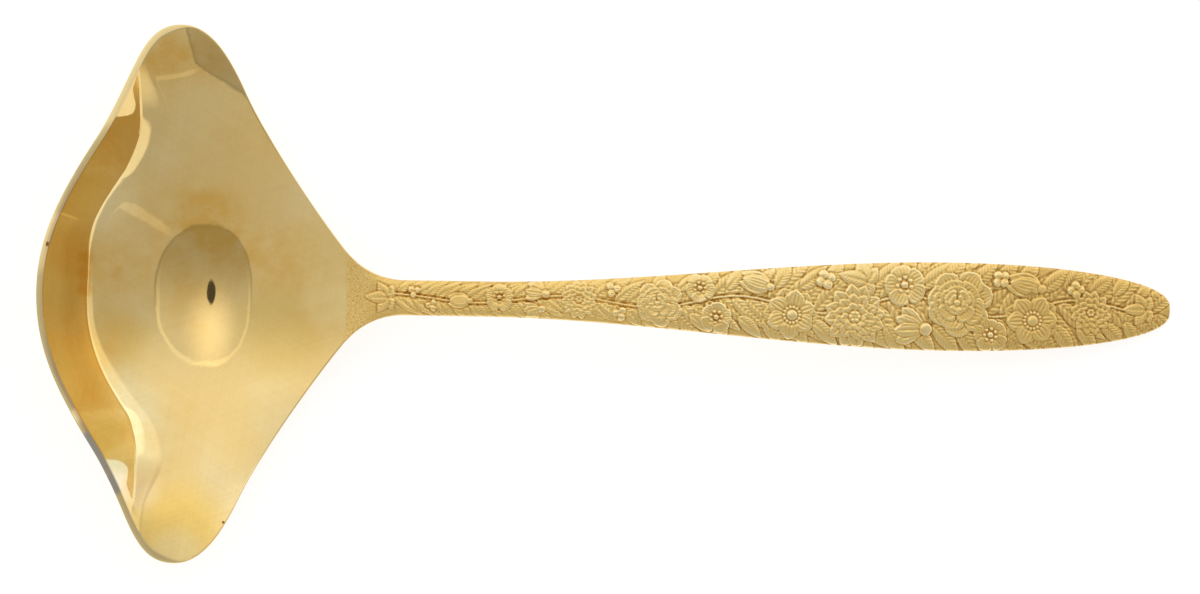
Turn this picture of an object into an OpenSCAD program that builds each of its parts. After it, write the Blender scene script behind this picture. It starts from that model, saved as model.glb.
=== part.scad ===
// Gravy ladle with a wide bowl that pours from either side.
// The bowl is pressed from sheet and lapped over the flared root of a die-struck handle,
// and a film of brazing alloy joins the two. It lies on a table, on the foot of the bowl and
// on the end of the handle. +X runs from the bowl to the end of the handle and +Z is up.
// All sizes are millimetres and all angles are degrees.

/* [Bowl] */
// Length of the bowl, from the middle of the front rim to the seam with the handle
bowl_l = 48; // [45:0.1:52]
// Width of the bowl, from spout tip to spout tip
bowl_w = 84.2; // [77:0.1:92]
// Thickness of the pressed sheet
sheet_t = 1.1; // [0.8:0.05:1.5]
// Distance of the lowest point of the floor behind the front rim
dip_set = 27.3; // [25:0.1:29.5]
// Distance by which the lowest line moves back towards the spouts
dip_shift = 4; // [2:0.1:5]
// Radius of the dished floor along the ladle, at its lowest point
floor_rx = 30; // [26:0.5:36]
// Rise over run that the floor settles to along the ladle
floor_rise = 0.5; // [0.42:0.01:0.56]
// Radius of the dished floor across the ladle
floor_ry = 62.5; // [55:0.5:75]
// Distance from the middle at which the floor starts to level out into a spout
lip_y = 20.8; // [18:0.1:23]
// Depth of the small flat under the bowl that it stands on
foot_d = 0.25; // [0.1:0.05:0.4]

/* [Front wall] */
// Width of the front wall seen from above, at the middle
wall_w = 7.2; // [6:0.1:8.4]
// Rise over run that the bend adds to the floor
bend_rise = 0.53; // [0.45:0.01:0.6]
// Rise over run that the crease adds to the bend, at the middle
crease_rise = 0.38; // [0.3:0.01:0.5]
// Rise over run that the crease adds to the bend, at its ends
crease_end_rise = 0.62; // [0.5:0.01:0.75]
// Breadth of the bend that leads up to the front wall, at the middle
bend_mid = 1.25; // [0.8:0.05:2]
// Breadth of the same bend, to either side
bend_side = 5; // [4:0.1:6]
// Breadth of the same bend, at its ends
bend_end = 1; // [0.7:0.05:1.6]
// Breadth of the crease between the bend and the front wall
crease_w = 0.4; // [0.2:0.05:0.8]
// Distance behind the front rim of the place where the crease turns from round to hollow
crease_set = 12.2; // [11:0.1:13.4]
// Distance of that place from the middle
crease_y = 18.7; // [17:0.1:20.5]
// Distance behind the front rim of the ends of the crease
crease_end_set = 14.4; // [13.4:0.1:15.4]
// Distance of those ends from the middle
crease_end_y = 36; // [33:0.1:39]
// Width of the flatter strip beside the rim, at either end of the front wall
strip_w = 1.7; // [1.4:0.1:2]

/* [Rim outline] */
// Distance of the spout tips behind the front rim
spout_set = 21.8; // [19:0.1:24]
// Distance behind the front rim of the shoulder, where the rim turns from round to hollow
shoulder_set = 9.2; // [8:0.1:10.5]
// Distance of the shoulder from the middle
shoulder_y = 24.4; // [22:0.1:27]
// Heading of the rim at the shoulder, from the length of the ladle
shoulder_a = 58; // [52:1:64]
// Distance behind the front rim of the hip, where the rear rim turns from round to hollow
hip_set = 31.9; // [29.5:0.1:34]
// Distance of the hip from the middle
hip_y = 31.4; // [28:0.1:34]
// Heading of the rim at the hip, from the length of the ladle
hip_a = 65; // [58:1:70]

/* [Handle] */
// Length of the handle, from the seam to its end
handle_l = 129.1; // [115:0.1:145]
// Width of the root where it meets the bowl
root_w = 14; // [12:0.1:16]
// Width of the neck, the narrowest place
neck_w = 5.5; // [4.5:0.1:7]
// Width of the broadest place
broad_w = 13.8; // [12:0.1:17]
// Radius of the flare from the neck to the root, seen from above
flare_r = 11.9; // [10:0.1:15]
// Distance from the seam at which the neck starts to broaden
neck_set = 21.6; // [16:0.1:28]
// Distance from the seam of the broadest place
broad_set = 94; // [80:0.5:104]
// Fullness of the rounded end, where 2 is an ellipse
end_n = 2.15; // [2:0.05:2.6]
// Width of the blunt at the very end
end_w = 1.2; // [0.6:0.1:2]
// Thickness at the neck
neck_t = 3; // [2.4:0.1:3.6]
// Thickness at the broadest place
broad_t = 2.3; // [1.8:0.1:3]
// Thickness at the end
end_t = 1.7; // [1.3:0.1:2.2]
// Height of the crown of the front face
crown_d = 0.35; // [0.1:0.05:0.6]
// Drop of the rounded long edges
edge_d = 0.5; // [0.2:0.05:0.6]
// Downward slope of the handle at its end
end_a = 8; // [4:0.5:12]

/* [Brazed joint] */
// Length of the tongue that lies under the bowl
lap_l = 9; // [6:0.5:13]
// Thickness of the tongue at the seam
lap_t = 1; // [0.7:0.05:1.4]
// Thickness of the tongue at its rounded end
lap_end_t = 0.45; // [0.3:0.05:0.6]
// Thickness of the film of brazing alloy
braze_t = 0.12; // [0.08:0.02:0.2]
// Clearance that keeps the film clear of the facets on either side
film_gap = 0.02; // [0.01:0.005:0.03]

/* [Hidden] */

gold = [0.83, 0.66, 0.33];
gold_satin = [0.78, 0.62, 0.34];
braze_gold = [0.80, 0.62, 0.28];

// Stations along the ladle
x_front = -(bowl_l + handle_l) / 2;
x_seam = x_front + bowl_l;
x_neck = x_seam + neck_set;
x_broad = x_seam + broad_set;
x_end = x_seam + handle_l;

// Length of the flare along the ladle, and the heading of the rim where it starts
flare_drop = (root_w - neck_w) / 2;
flare_l = sqrt(pow(flare_r, 2) - pow(flare_r - flare_drop, 2));
flare_a = atan2(flare_l, flare_r - flare_drop);
x_flare = x_seam + flare_l;

// Pulls of the curves of the rim and of the crease, each a share of the chord between its two ends
front_pull = [0.3917, 0.3226];
spout_pull = [0.465, 0.3255];
hip_pull = [0.3272, 0.3621];
root_pull = [0.2629, 0.2049];
crease_pull = [0.465, 0.2686];
crease_end_pull = [0.2867, 0.344];
// Headings of the crease at its turn and at its end
crease_a = [58, 97];

// Shares of the way out to a spout tip over which the lowest line moves back, the crease
// sharpens, the bend broadens and narrows again, and the flatter strip starts and ends
dip_span = [0.3325, 0.8551];
crease_span = [0.3325, 0.7601];
bend_span = [0.095, 0.6651];
bend_end_span = [0.6651, 0.8195];
strip_span = [0.7031, 0.7316];
strip_end_span = [0.7838, 0.8551];
// Rise over run that the flatter strip gives up
strip_fall = 0.6;

// Counts of facets
trace_steps = 60;
root_cols = 4;
spout_cols = 22;
wall_rows = 8;
floor_rows = 16;
tongue_steps = 8;
film_steps = 5;
flare_steps = 8;
body_steps = 22;
end_steps = 14;
half_ring = 8;

// The last column stops this far short of a spout tip, and a row stays between these shares of
// the way across a section where the crease would pass out of it
tip_trim = 0.05;
crease_row = [0.1, 0.55];
// Step used to measure slopes, and the steepest lean of the rim that its edge is set back for
slope_step = 0.05;
lean_limit = 2;
// Power that shapes the rounding of the handle's edges
edge_n = 8;
// Angle round the half ellipse of the tongue at which its blunt end starts
tongue_start_a = 8;

function heading(a) = [cos(a), sin(a)];
function ease(t) = let (c = max(0, min(1, t))) c * c * (3 - 2 * c);
function mix(a, b, t) = a + (b - a) * t;
function bezier(p, t) =
    pow(1 - t, 3) * p[0] + 3 * pow(1 - t, 2) * t * p[1] + 3 * (1 - t) * t * t * p[2] + pow(t, 3) * p[3];
function between(span, t) = ease((t - span[0]) / (span[1] - span[0]));
// A curve from p to q that leaves along the heading a and arrives along the heading b
function bow(p, a, q, b, pull) =
    let (chord = norm(q - p),
        first = p + pull[0] * chord * heading(a),
        second = q - pull[1] * chord * heading(b))
    [for (i = [0 : trace_steps]) bezier([p, first, second, q], i / trace_steps)];
function by_y(path) = [for (p = path) [p[1], p[0]]];

// Corners of the rim's outline, on the +Y side
front_mid = [x_front, 0];
shoulder = [x_front + shoulder_set, shoulder_y];
spout = [x_front + spout_set, bowl_w / 2];
hip = [x_front + hip_set, hip_y];
root = [x_seam, root_w / 2];

front_table = by_y(concat(
    bow(front_mid, 90, shoulder, shoulder_a, front_pull),
    bow(shoulder, shoulder_a, spout, 0, spout_pull)));
rear_table = by_y(concat(
    bow(spout, 0, hip, -hip_a, hip_pull),
    bow(hip, -hip_a, root, -flare_a, root_pull)));

// The crease leaves the middle square, runs beside the rim, and ends at the rim short of a spout tip
crease_mid = [x_front + wall_w, 0];
crease_turn = [x_front + crease_set, crease_y];
crease_end = [x_front + crease_end_set, crease_end_y];
crease_table = by_y(concat(
    bow(crease_mid, 90, crease_turn, crease_a[0], crease_pull),
    bow(crease_turn, crease_a[0], crease_end, crease_a[1], crease_end_pull)));

function rim_front(y) = lookup(abs(y), front_table);
function rim_rear(y) = abs(y) <= root_w / 2 ? x_seam : lookup(abs(y), rear_table);
function crease_x(y) = lookup(abs(y), crease_table);
function outward(y) = 2 * abs(y) / bowl_w;

// Inner surface of the bowl: a dish whose floor curves up to an even slope along the ladle and
// levels out into the spouts, and a front wall past a bend and a crease
floor_run = floor_rx * floor_rise;
function dip_x(y) = x_front + dip_set + dip_shift * between(dip_span, outward(y));
function dish_along(x, y) = floor_run * floor_rise * (sqrt(1 + pow((x - dip_x(y)) / floor_run, 2)) - 1);
function dish_across(y) = pow(lip_y, 2) / floor_ry * (1 - exp(-y * y / (2 * pow(lip_y, 2))));
function crease_slope(y) = mix(crease_rise, crease_end_rise, between(crease_span, outward(y)));
function bend_w(y) =
    let (side = mix(bend_side, bend_end, between(bend_end_span, outward(y))))
    mix(bend_mid, side, between(bend_span, outward(y)));
// Height gained past a bend of breadth w that turns fast and then slowly, to a rise of one
function climb(past, w) =
    let (t = max(0, min(1, past / w)))
    w * (t + (pow(1 - t, 4) - 1) / 4) + max(0, past - w);
function strip(y) =
    strip_fall * between(strip_span, outward(y)) * (1 - between(strip_end_span, outward(y)));
function wall_z(x, y) =
    let (past = crease_x(y) - x, w = bend_w(y))
    bend_rise * climb(past + w, w) + crease_slope(y) * climb(past + crease_w / 2, crease_w)
        - strip(y) * climb(rim_front(y) + strip_w - x, crease_w);
function dish_z(x, y) =
    sheet_t - foot_d + dish_along(x, y) + dish_across(y) + wall_z(x, y);

function slope_x(x, y) = (dish_z(x + slope_step, y) - dish_z(x - slope_step, y)) / (2 * slope_step);
function slope_y(x, y) = (dish_z(x, y + slope_step) - dish_z(x, y - slope_step)) / (2 * slope_step);
function dish_normal(x, y) = let (n = [-slope_x(x, y), -slope_y(x, y), 1]) n / norm(n);

// A point at depth d in the sheet or under it. The depth runs square to the sheet at the front
// wall, and upright at the rear rim, which is trimmed upright.
function upright(x, y) = ease((x - crease_x(y)) / (rim_rear(y) - crease_x(y)));
function below(x, y, d) =
    let (n = dish_normal(x, y), k = upright(x, y))
    [x, y, dish_z(x, y)] - d * mix(n, [0, 0, 1 / n[2]], k);
function on_table(p) = [p[0], p[1], max(0, p[2])];

// Inner edge of the front rim, set back so that the outer edge lies on the outline
function rim_lean(y) =
    let (lean = (rim_front(y + slope_step) - rim_front(y - slope_step)) / (2 * slope_step))
    max(-lean_limit, min(lean_limit, lean));
function inner_front(y) =
    let (f = rim_front(y), n = dish_normal(f, y)) f + sheet_t * (n[0] - rim_lean(y) * n[1]);

// A closed skin over sections that follow one another. Each section is a pair of chains of
// points, and the skin closes across the first and the last pair.
module ribbon(sections) {
    n = len(sections[0][0]);
    ring = 2 * n;
    last = (len(sections) - 1) * ring;
    points = [for (s = sections) each concat(s[0], [for (i = [n - 1 : -1 : 0]) s[1][i]])];
    sides = [for (k = [0 : len(sections) - 2]) for (i = [0 : ring - 1])
        let (a = k * ring + i, b = k * ring + (i + 1) % ring)
        each [[a, b, b + ring], [a, b + ring, a + ring]]];
    caps = [for (i = [0 : n - 2]) let (j = ring - 1 - i)
        each [[i, j - 1, i + 1], [i, j, j - 1], [last + i, last + i + 1, last + j - 1],
            [last + i, last + j - 1, last + j]]];
    polyhedron(points, concat(sides, caps), convexity = 6);
}

// Columns run across the bowl, with one on each corner of the seam and more near the spouts
half_columns = concat(
    [for (j = [0 : root_cols]) root_w / 2 * j / root_cols],
    [for (j = [1 : spout_cols]) mix(root_w / 2, bowl_w / 2 - tip_trim, sin(90 * j / spout_cols))]);
columns = concat([for (j = [len(half_columns) - 1 : -1 : 1]) -half_columns[j]], half_columns);

// Rows run from the front rim to the rear rim, and crowd towards the crease
function row_x(y, i) =
    let (f = inner_front(y), r = rim_rear(y),
        k = max(mix(f, r, crease_row[0]), min(crease_x(y), mix(f, r, crease_row[1]))))
    i <= wall_rows ? mix(f, k, sin(90 * i / wall_rows))
        : mix(k, r, 1 - cos(90 * (i - wall_rows) / floor_rows));

module bowl() {
    color(gold)
        ribbon([for (y = columns)
            let (xs = [for (i = [0 : wall_rows + floor_rows]) row_x(y, i)])
            [[for (x = xs) on_table(below(x, y, sheet_t))], [for (x = xs) below(x, y, 0)]]]);
}

// Outline of the handle seen from above, as half its width
function flare(x) =
    x > x_flare ? 0 : flare_r - sqrt(pow(flare_r, 2) - pow(x_flare - x, 2));
function rounded_end(x) = pow(max(0, 1 - pow((x - x_broad) / (x_end - x_broad), end_n)), 1 / end_n);
function half_width(x) =
    x > x_broad ? mix(end_w / 2, broad_w / 2, rounded_end(x))
        : mix(neck_w / 2, broad_w / 2, ease((x - x_neck) / (x_broad - x_neck))) + flare(x);

// Side profile: one arch from the slope of the bowl at the seam to the table at the end
root_rise = slope_x(x_seam, 0);
root_z = dish_z(x_seam, 0);
end_z = end_t * cos(end_a);
function arch_z(u) =
    root_z * (2 * pow(u, 3) - 3 * u * u + 1) + handle_l * root_rise * (pow(u, 3) - 2 * u * u + u)
        + end_z * (3 * u * u - 2 * pow(u, 3)) - handle_l * tan(end_a) * (pow(u, 3) - u * u);
function arch_rise(u) =
    root_z / handle_l * (6 * u * u - 6 * u) + root_rise * (3 * u * u - 4 * u + 1)
        + end_z / handle_l * (6 * u - 6 * u * u) - tan(end_a) * (3 * u * u - 2 * u);

root_t = sheet_t + braze_t + lap_t;
function thickness(x) =
    root_t + (neck_t - root_t) * ease((x - x_seam) / flare_l)
        + (broad_t - neck_t) * ease((x - x_neck) / (x_broad - x_neck))
        + (end_t - broad_t) * ease((x - x_broad) / (x_end - x_broad));

// A section follows the dish of the bowl at the root, and is crowned with round edges from
// the neck on
across = [for (j = [-half_ring : half_ring]) sin(90 * j / half_ring)];
function face_drop(x, q) =
    let (crowned = crown_d * q * q + edge_d * pow(abs(q), edge_n))
    mix(-dish_across(q * half_width(x)), crowned, ease((x - x_seam) / flare_l));
function back_lift(x, q) =
    mix(dish_across(q * half_width(x)), edge_d * pow(abs(q), edge_n), ease((x - x_seam) / flare_l));
function handle_point(x, q, off) =
    let (u = (x - x_seam) / handle_l, a = atan(arch_rise(u)), px = x - off * sin(a))
    [px, q * half_width(min(px, x_end)), arch_z(u) + off * cos(a)];
function handle_section(x) = [
    [for (q = across) handle_point(x, q, -face_drop(x, q))],
    [for (q = across) handle_point(x, q, back_lift(x, q) - thickness(x))]];

// The tongue under the bowl ends in half an ellipse
function tongue_x(a) = x_seam - lap_l * cos(a);
function tongue_section(a) =
    let (top = sheet_t + braze_t, deep = top + mix(lap_end_t, lap_t, sin(a)))
    [[for (q = across) below(tongue_x(a), q * root_w / 2 * sin(a), top)],
        [for (q = across) below(tongue_x(a), q * root_w / 2 * sin(a), deep)]];

module handle() {
    color(gold_satin)
        ribbon(concat(
            [for (i = [0 : tongue_steps]) tongue_section(mix(tongue_start_a, 90, i / tongue_steps))],
            [for (i = [0 : flare_steps]) handle_section(mix(x_seam + braze_t, x_flare, i / flare_steps))],
            [for (i = [1 : body_steps]) handle_section(mix(x_flare, x_broad, i / body_steps))],
            [for (i = [1 : end_steps]) handle_section(mix(x_broad, x_end, sin(90 * i / end_steps)))]));
}

// The film of alloy lies on the tongue, and turns up between the edge of the bowl and the root
function film_section(y) =
    let (reach = lap_l * sqrt(1 - pow(2 * y / root_w, 2)),
        xs = [for (i = [0 : film_steps]) x_seam - reach * (1 - i / film_steps)])
    [concat([for (x = xs) below(x, y, sheet_t + braze_t - film_gap)],
            [below(x_seam + braze_t - film_gap, y, 0)]),
        concat([for (x = xs) below(x, y, sheet_t + film_gap)], [below(x_seam + film_gap, y, 0)])];

module braze_seam() {
    color(braze_gold)
        ribbon([for (a = [-90 + tongue_start_a : (90 - tongue_start_a) / half_ring : 90 - tongue_start_a])
            film_section(root_w / 2 * sin(a))]);
}

bowl();
handle();
braze_seam();
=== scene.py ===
import math

import bpy
import numpy as np
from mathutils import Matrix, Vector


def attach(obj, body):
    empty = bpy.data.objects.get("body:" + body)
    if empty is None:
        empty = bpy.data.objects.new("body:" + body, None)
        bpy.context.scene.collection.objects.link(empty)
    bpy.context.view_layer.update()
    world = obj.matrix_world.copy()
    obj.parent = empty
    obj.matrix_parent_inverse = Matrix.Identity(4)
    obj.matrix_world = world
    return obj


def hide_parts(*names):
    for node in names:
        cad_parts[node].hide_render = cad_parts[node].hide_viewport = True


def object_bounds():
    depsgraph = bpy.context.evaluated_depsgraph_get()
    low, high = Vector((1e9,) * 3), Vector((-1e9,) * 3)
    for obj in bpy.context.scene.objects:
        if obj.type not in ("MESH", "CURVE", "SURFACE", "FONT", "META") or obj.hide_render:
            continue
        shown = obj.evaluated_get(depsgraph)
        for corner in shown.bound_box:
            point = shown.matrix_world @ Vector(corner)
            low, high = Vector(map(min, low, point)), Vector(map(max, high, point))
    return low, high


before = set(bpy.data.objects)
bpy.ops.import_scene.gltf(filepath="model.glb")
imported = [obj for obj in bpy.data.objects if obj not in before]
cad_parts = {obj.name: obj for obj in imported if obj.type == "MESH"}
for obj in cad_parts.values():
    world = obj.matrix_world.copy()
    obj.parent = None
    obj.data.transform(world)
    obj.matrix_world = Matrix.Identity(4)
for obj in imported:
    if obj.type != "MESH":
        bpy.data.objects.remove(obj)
cadLow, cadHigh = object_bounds()
mm = 0.001  # the shapes below are worked out in millimetres
tiny = 1e-6  # places nearer than this are the same
print("frame loaded:", ", ".join(sorted(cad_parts)))


# socket maths: an expression on wires adds Math nodes to the tree they belong to
class Wire:
    def __init__(self, tree, socket=None):
        self.tree = tree
        self.socket = socket

    def add(self, kind, settings=None, inputs=None, out=0):
        node = self.tree.nodes.new("ShaderNode" + kind)
        for key, value in (settings or {}).items():
            if key == "stops":
                self.setStops(node.color_ramp, value)
            else:
                setattr(node, key, value)
        for key, value in (inputs or {}).items():
            self.plug(node.inputs[key], value)
        return Wire(self.tree, node.outputs[out])

    def setStops(self, ramp, stops):
        while len(ramp.elements) < len(stops):
            ramp.elements.new(1.0)
        for element, (place, colour) in zip(ramp.elements, stops):
            element.position = place
            element.color = (*colour, 1.0)

    def plug(self, socket, value):
        if isinstance(value, Wire):
            self.tree.links.new(value.socket, socket)
        else:
            socket.default_value = value

    def out(self, name):
        return Wire(self.tree, self.socket.node.outputs[name])

    def maths(self, operation, *values):
        return self.add("Math", {"operation": operation}, dict(enumerate(values)))

    def __add__(self, other):
        return self.maths("ADD", self, other)

    __radd__ = __add__

    def __sub__(self, other):
        return self.maths("SUBTRACT", self, other)

    def __rsub__(self, other):
        return self.maths("SUBTRACT", other, self)

    def __mul__(self, other):
        return self.maths("MULTIPLY", self, other)

    __rmul__ = __mul__

    def __truediv__(self, other):
        return self.maths("DIVIDE", self, other)

    def __rtruediv__(self, other):
        return self.maths("DIVIDE", other, self)

    def __pow__(self, other):
        return self.maths("POWER", self, other)

    def __neg__(self):
        return self.maths("MULTIPLY", self, -1.0)

    def __abs__(self):
        return self.maths("ABSOLUTE", self)

    def atLeast(self, other):
        return self.maths("MAXIMUM", self, other)

    def atMost(self, other):
        return self.maths("MINIMUM", self, other)

    def ramp(self, low, high):  # 0 below low, 1 above high, smooth between
        return self.add("MapRange", {"interpolation_type": "SMOOTHSTEP"},
                        {"Value": self, "From Min": low, "From Max": high})

    def upTo(self, most, low, high):  # 0 below low, most above high
        return most * self.ramp(low, high)

    def mixed(self, least, more, low, high):
        return least + self.upTo(more, low, high)

    def blend(self, first, second):  # colours, with this wire as the factor
        return self.add("Mix", {"data_type": "RGBA"}, {0: self, 6: first, 7: second}, out=2)


def mixIn(wire, first, second, factor):  # plain numbers or value wires
    return wire.add("Mix", {"data_type": "FLOAT"}, {0: factor, 2: first, 3: second})


# the camera looks straight down, a little turned, from well above
shot = {
    "frameWidth": 1200, "mmPerPixel": 0.15708, "height": 1400.0, "aside": (-0.88, 0.61), "turn": 0.944,
    "sensor": 36.0, "nearest": 0.01,
}

cameraData = bpy.data.cameras.new("camera")
cameraData.sensor_width = shot["sensor"]
cameraData.lens = shot["height"] / shot["mmPerPixel"] / shot["frameWidth"] * shot["sensor"]
cameraData.clip_start = shot["nearest"]
camera = bpy.data.objects.new("camera", cameraData)
camera.location = (shot["aside"][0] * mm, shot["aside"][1] * mm, shot["height"] * mm)
camera.rotation_euler = (0, 0, math.radians(shot["turn"]))
bpy.context.scene.collection.objects.link(camera)
bpy.context.scene.camera = camera
print("camera lens", round(cameraData.lens, 1), "mm")


# small helpers for curves and meshes
def heading(degrees):
    return np.array([math.cos(math.radians(degrees)), math.sin(math.radians(degrees))])


def curve(start, turnOne, end, turnTwo, pulls, count=400):  # leaves and arrives along two headings
    chord = np.linalg.norm(end - start)
    first = start + pulls[0] * chord * heading(turnOne)
    second = end - pulls[1] * chord * heading(turnTwo)
    t = np.linspace(0, 1, count)[:, None]
    return (1 - t) ** 3 * start + 3 * (1 - t) ** 2 * t * first + 3 * (1 - t) * t * t * second + t ** 3 * end


def spaced(path, count):  # the same path with evenly spaced points
    steps = np.linalg.norm(np.diff(path, axis=0), axis=1)
    along = np.concatenate([[0], np.cumsum(steps)])
    even = np.linspace(0, along[-1], count)
    return np.stack([np.interp(even, along, path[:, k]) for k in range(path.shape[1])], axis=1)


def ease(t):
    t = np.clip(t, 0, 1)
    return t * t * (3 - 2 * t)


def between(span, y):  # on either side of the middle line
    return ease((np.abs(y) - span[0]) / (span[1] - span[0]))


def unit(v):
    return v / np.linalg.norm(v, axis=-1, keepdims=True)


def gridFaces(rows, columns):  # quads over rows of points, each row a loop
    r, c = np.meshgrid(np.arange(rows - 1), np.arange(columns), indexing="ij")
    nextC = (c + 1) % columns
    corners = [r * columns + c, r * columns + nextC, (r + 1) * columns + nextC, (r + 1) * columns + c]
    return np.stack(corners, axis=-1).reshape(-1, 4)


def makeMesh(name, points, quads, triangles):  # points in millimetres
    mesh = bpy.data.meshes.new(name)
    mesh.vertices.add(len(points))
    mesh.vertices.foreach_set("co", (np.asarray(points) * mm).astype(np.float32).ravel())
    sizes = np.concatenate([np.full(len(quads), 4), np.full(len(triangles), 3)])
    corners = np.concatenate([np.ravel(quads), np.ravel(triangles)]).astype(np.int32)
    mesh.loops.add(len(corners))
    mesh.loops.foreach_set("vertex_index", corners)
    mesh.polygons.add(len(sizes))
    mesh.polygons.foreach_set("loop_start", np.concatenate([[0], np.cumsum(sizes)[:-1]]).astype(np.int32))
    mesh.polygons.foreach_set("use_smooth", np.ones(len(sizes), bool))
    mesh.update(calc_edges=True)
    mesh.validate()
    piece = bpy.data.objects.new(name, mesh)
    bpy.context.scene.collection.objects.link(piece)
    return piece


def markSharp(piece, chains):  # edges that stay crisp under smooth shading, as chains of point numbers
    mesh = piece.data
    ends = np.empty(len(mesh.edges) * 2, np.int32)
    mesh.edges.foreach_get("vertices", ends)
    ends = np.sort(ends.reshape(-1, 2).astype(np.int64), axis=1)
    pairs = np.sort(np.vstack([np.stack([c[:-1], c[1:]], axis=1) for c in chains]), axis=1)
    count = len(mesh.vertices)
    crisp = np.isin(ends[:, 0] * count + ends[:, 1], pairs[:, 0] * count + pairs[:, 1])
    layer = mesh.attributes.new("sharp_edge", "BOOLEAN", "EDGE")
    layer.data.foreach_set("value", crisp)


def paintPoints(piece, name, values):  # one number per point, for the materials
    layer = piece.data.attributes.new(name, "FLOAT", "POINT")
    layer.data.foreach_set("value", np.asarray(values, np.float32))


# bowl: a dish with two spouts that level out, and a front wall past a fold
bowl = {
    "length": 48.0, "width": 84.2, "sheet": 1.1, "rimSheet": 0.9, "heart": 25.0,
    # floor
    "lowSet": 27.3, "lowShift": 4.0, "lowY": (14.0, 36.0),
    "floorAlong": 30.0, "floorSlope": 0.5, "floorAcross": 62.5, "lipY": 20.8, "footDepth": 0.25,
    # rim seen from above
    "spoutSet": 21.8, "shoulderSet": 9.2, "shoulderY": 24.4, "shoulderTurn": 58,
    "hipSet": 31.9, "hipY": 31.4, "hipTurn": 65,
    "frontPulls": (0.3917, 0.3226), "spoutPulls": (0.465, 0.3255), "hipPulls": (0.3272, 0.3621),
    "rootPulls": (0.2629, 0.2049),
    # crease and bend between floor and wall
    "wallWidth": 7.2, "creaseTurnAt": (13.6, 18.4), "creaseEnd": (14.9, 36.0), "creaseTurns": (58, 97),
    "creasePulls": (0.465, 0.2686), "creaseEndPulls": (0.2867, 0.344),
    "uneven": 1.15, "unevenY": (2.0, 12.0), "unevenEnd": (18.0, 28.0),
    "crease": 0.4, "creaseRise": 0.36, "creaseSide": 0.62, "creaseY": (20.0, 32.0),
    "bendRise": 0.5, "bendMid": 1.25, "bendSide": 5.0, "bendEnd": 1.8, "bendY": (4.0, 28.0),
    "endY": (27.0, 36.0), "endSooner": 2.2,
    "stripFlat": 0.42, "stripBend": 0.9, "stripWidth": 2.2, "stripLess": 0.95,
    "stripY": (28.2, 30.2), "stripEnd": (33.0, 36.0),
    # edge of the sheet
    "land": 0.93, "landSlope": 0.18, "landSquare": 6.0, "landFace": 0.12, "landSoft": 0.4, "landCrisp": 3.0,
    "rimRear": 0.12, "rimSquare": 3.0, "rimFade": 6.0, "rimTurn": 6.0, "seamInset": 0.1,
    # mesh
    "rowsInside": 110, "rowsUnder": 40, "rowsRim": 12, "settling": 6,
    "pointsFront": 170, "pointsRear": 104, "pointsSeam": 26,
}
handle = {
    "length": 129.1, "rootWidth": 14.0, "neckWidth": 5.5, "broadWidth": 13.8, "flareRadius": 11.9,
    "neckSet": 21.6, "broadSet": 94.0, "endFull": 2.15, "endWidth": 1.2,
    "neckThick": 3.0, "broadThick": 2.3, "endThick": 1.7, "endSlope": 8,
    "tongue": 9.0, "tongueThick": 1.0, "tongueTip": 0.45, "tongueFrom": 8, "braze": 0.12, "gap": 0.004,
    "square": 3.6, "crown": 0.25, "tip": 2.0,
    "rings": 780, "tipRings": 30, "tongueRings": 14, "pointsTop": 100, "pointsUnder": 24,
}
xFront = cadLow.x / mm
xSeam = xFront + bowl["length"]
xEnd = xSeam + handle["length"]
flareDrop = (handle["rootWidth"] - handle["neckWidth"]) / 2
flareLength = math.sqrt(handle["flareRadius"] ** 2 - (handle["flareRadius"] - flareDrop) ** 2)
flareTurn = math.degrees(math.atan2(flareLength, handle["flareRadius"] - flareDrop))
rootRound = bowl["rimRear"] / math.cos(math.radians(flareTurn))

frontMid = np.array([xFront, 0.0])
shoulder = frontMid + [bowl["shoulderSet"], bowl["shoulderY"]]
spout = frontMid + [bowl["spoutSet"], bowl["width"] / 2]
hip = frontMid + [bowl["hipSet"], bowl["hipY"]]
root = np.array([xSeam, handle["rootWidth"] / 2])
frontRim = np.vstack([
    curve(frontMid, 90, shoulder, bowl["shoulderTurn"], bowl["frontPulls"]),
    curve(shoulder, bowl["shoulderTurn"], spout, 0, bowl["spoutPulls"])[1:]])
rearRim = np.vstack([
    curve(spout, 0, hip, -bowl["hipTurn"], bowl["hipPulls"]),
    curve(hip, -bowl["hipTurn"], root, -flareTurn, bowl["rootPulls"])[1:]])
creaseMid = frontMid + [bowl["wallWidth"], 0]
creaseTurn = frontMid + bowl["creaseTurnAt"]
creaseTip = frontMid + bowl["creaseEnd"]
creaseLine = np.vstack([
    curve(creaseMid, 90, creaseTurn, bowl["creaseTurns"][0], bowl["creasePulls"]),
    curve(creaseTurn, bowl["creaseTurns"][0], creaseTip, bowl["creaseTurns"][1], bowl["creaseEndPulls"])[1:]])


def frontX(y):
    return np.interp(np.abs(y), frontRim[:, 1], frontRim[:, 0])


def foldX(y):  # on the +Y side the fold runs a little nearer the rim
    nearer = bowl["uneven"] * between(bowl["unevenY"], y) * (1 - between(bowl["unevenEnd"], y))
    return np.interp(np.abs(y), creaseLine[:, 1], creaseLine[:, 0]) - nearer * (np.asarray(y) > 0)


def rearX(y):
    rear = np.interp(np.abs(y), rearRim[::-1, 1], rearRim[::-1, 0])
    return np.where(np.abs(y) <= handle["rootWidth"] / 2, xSeam, rear)


def dishAcross(y):
    return bowl["lipY"] ** 2 / bowl["floorAcross"] * (1 - np.exp(-y * y / (2 * bowl["lipY"] ** 2)))


def lowX(y):  # the deepest line shifts back towards the spouts
    return xFront + bowl["lowSet"] + bowl["lowShift"] * between(bowl["lowY"], y)


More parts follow.
